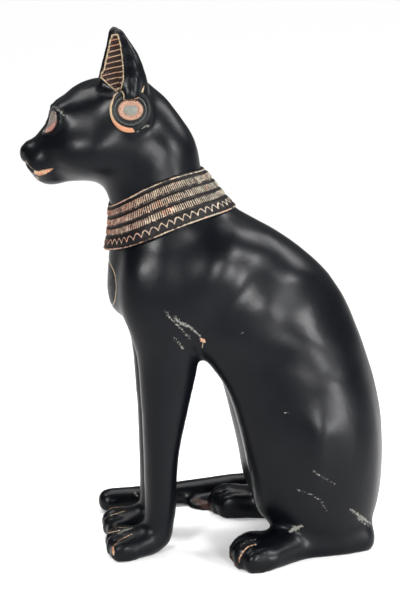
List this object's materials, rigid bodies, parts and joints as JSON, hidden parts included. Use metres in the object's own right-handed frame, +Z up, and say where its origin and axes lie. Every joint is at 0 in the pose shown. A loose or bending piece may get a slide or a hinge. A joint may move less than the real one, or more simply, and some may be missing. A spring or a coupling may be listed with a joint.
{
  "type": "seated cat figure",
  "caption": "Slender seated cat in the Egyptian manner, cast in one with a ribbed collar and round earrings, painted satin black with rubbed gilt trim.",
  "frame": {"origin": "bottom centre of the bounding box, on the surface that the figure stands on", "axes": "+Z up, the cat looks along -Y, its left side is +X and its tail lies along its right side, at -X"},
  "size_m": [0.1304, 0.2092, 0.2998],
  "materials": {
    "black_paint": "satin black paint over cast resin, with fine scratches and rubbed edges",
    "gilt_trim": "dry-brushed gold and copper paint, worn"
  },
  "bodies": {
    "root": {"cat_figure": "black_paint"}
  },
  "joints": []
}
